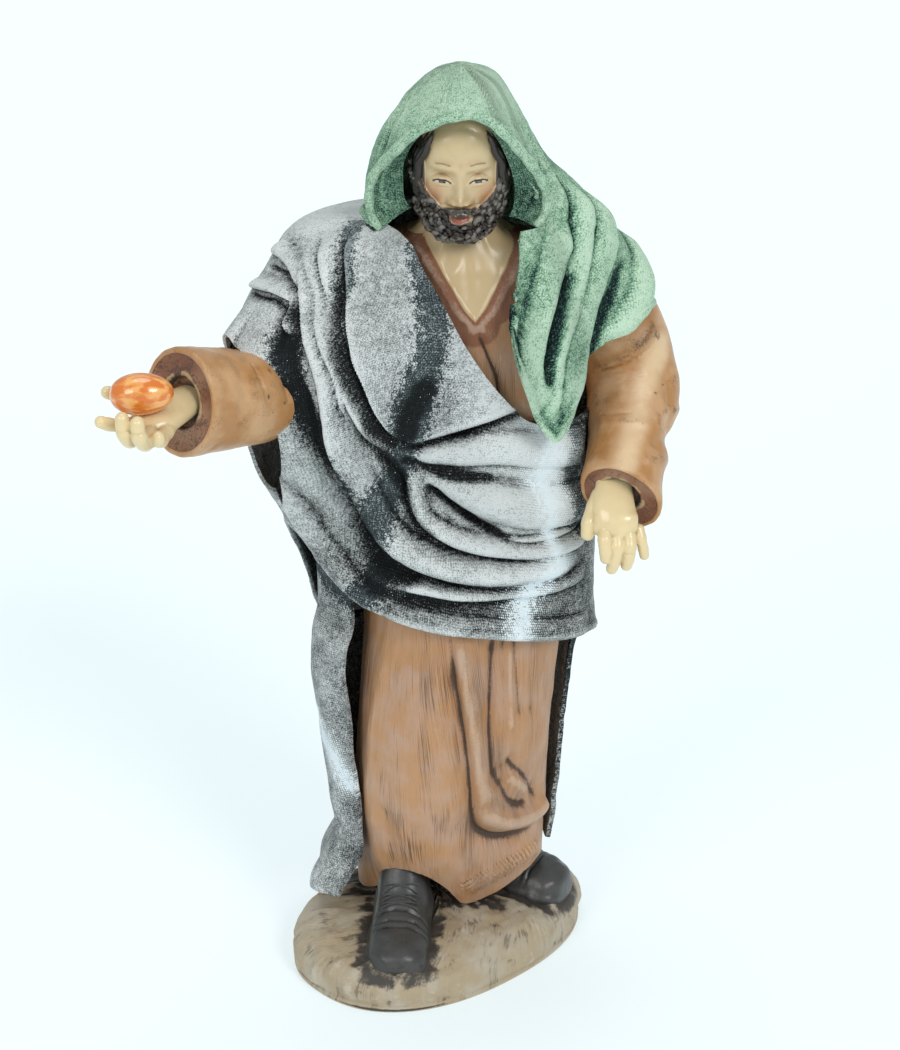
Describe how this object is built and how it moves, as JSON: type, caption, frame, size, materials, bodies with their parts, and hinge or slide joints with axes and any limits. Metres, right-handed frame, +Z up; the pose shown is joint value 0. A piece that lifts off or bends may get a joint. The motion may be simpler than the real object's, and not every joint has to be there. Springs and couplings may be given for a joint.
{
  "type": "nativity shepherd figurine",
  "caption": "Standing shepherd of painted clay in stiffened cloth cloak and green hood, holding out a fruit on an open hand, on a low oval mound of earth.",
  "frame": {"origin": "middle of the oval underside of the base", "axes": "+Z up, -Y the way the figure faces, +X to the figure's left, where its lowered hand is"},
  "size_m": [0.1691, 0.1325, 0.3015],
  "materials": {
    "painted_clay": "fired clay, painted ochre brown with a dark wash, satin",
    "cloak_cloth": "coarse glue-stiffened cloth, dry-brushed light grey over charcoal, matt",
    "headcloth_cloth": "coarse glue-stiffened cloth, dry-brushed sage green over dark blue-green, matt",
    "painted_skin": "fired clay, painted flesh colour, glossy",
    "painted_fruit": "fired clay, painted orange, glossy"
  },
  "bodies": {
    "root": {"clay_figure": "painted_clay", "cloak": "cloak_cloth", "headcloth": "headcloth_cloth", "right_hand": "painted_skin", "left_hand": "painted_skin", "fruit": "painted_fruit"}
  },
  "joints": []
}
